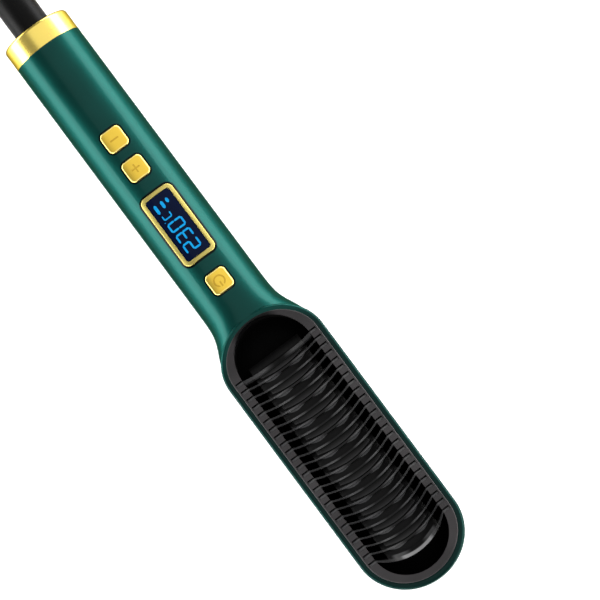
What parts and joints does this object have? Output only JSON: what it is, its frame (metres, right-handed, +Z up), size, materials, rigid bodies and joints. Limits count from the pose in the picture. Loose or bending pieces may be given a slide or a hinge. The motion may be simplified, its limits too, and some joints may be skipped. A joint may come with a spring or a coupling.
{
  "type": "hair straightening brush",
  "caption": "Round-handled hair straightening brush with keys, a lit display, a dished heating comb in a castellated guard, and a corded swivel.",
  "frame": {"origin": "on the surface the brush lies on, under the middle of its length from the strain relief's end to the head's tip", "axes": "+X along the handle towards the head's tip, +Z up out of the face with the keys, display and comb, +Y to the left of someone who looks from the tail towards the tip"},
  "size_m": [0.5148, 0.065, 0.034],
  "materials": {
    "green_coat": "satin metallic",
    "gold": "plated, polished",
    "black_plastic": "satin",
    "comb_coat": "dark ceramic coating, satin",
    "tray_plastic": "matt, heat-proof",
    "lens": "polished, tinted",
    "display": "matt",
    "board_green": "satin",
    "component_black": "matt",
    "capacitor_film": "satin",
    "capacitor_can": "sleeved, satin",
    "fuse_glass": "clear",
    "heater_case": "satin",
    "mica": "satin",
    "steel": "satin",
    "copper_alloy": "satin",
    "socket_plastic": "matt",
    "lead_insulation": "matt",
    "sensor_insulation": "matt",
    "cord_rubber": "matt"
  },
  "bodies": {
    "brush": {"front_shell": "green_coat", "rear_shell": "green_coat", "end_ring": "gold", "guard_ring": "black_plastic", "heating_comb": "comb_coat", "inner_tray": "tray_plastic", "display_bezel": "gold", "display_window": "lens", "display_module": "display", "swivel_socket": "socket_plastic", "contact_block": "component_black", "contact_springs": "copper_alloy", "ptc_heater": "heater_case", "mica_sheet": "mica", "heater_clamp": "steel", "clamp_screws": "steel", "thermal_fuse": "steel", "temperature_sensor": "fuse_glass", "control_board": "board_green", "power_board": "board_green", "control_chip": "component_black", "film_capacitor": "capacitor_film", "electrolytic_capacitor": "capacitor_can", "mains_fuse": "fuse_glass", "triac": "component_black", "board_link": "socket_plastic", "key_switches": "component_black", "control_board_screws": "steel", "power_board_screws": "steel", "mains_leads": "lead_insulation", "heater_leads": "lead_insulation", "sensor_leads": "sensor_insulation", "handle_screws": "steel", "head_screws": "steel", "cord_hank": "cord_rubber", "cord_ties": "black_plastic", "cord_lead": "cord_rubber", "cord_tail": "cord_rubber", "plug_relief": "cord_rubber", "plug_body": "cord_rubber", "plug_blades": "steel"},
    "cord_swivel": {"swivel_barrel": "black_plastic", "swivel_clip": "steel", "slip_rings": "copper_alloy", "strain_relief": "cord_rubber"},
    "minus_key": {"minus_button": "gold"},
    "plus_key": {"plus_button": "gold"},
    "power_key": {"power_button": "gold"}
  },
  "joints": [
    {"name": "cord_swivel_turn", "type": "hinge", "parent": "brush", "child": "cord_swivel", "pos_m": [-0.11095, 0, 0.01575], "axis": [1, 0, 0], "continuous": true},
    {"name": "minus_key_press", "type": "slide", "parent": "brush", "child": "minus_key", "axis": [0, 0, -1], "range_m": [0, 0.0005], "stiffness_N_per_m": 800, "springref_m": -0.0003},
    {"name": "plus_key_press", "type": "slide", "parent": "brush", "child": "plus_key", "axis": [0, 0, -1], "range_m": [0, 0.0005], "stiffness_N_per_m": 800, "springref_m": -0.0003},
    {"name": "power_key_press", "type": "slide", "parent": "brush", "child": "power_key", "axis": [0, 0, -1], "range_m": [0, 0.0005], "stiffness_N_per_m": 800, "springref_m": -0.0003}
  ]
}
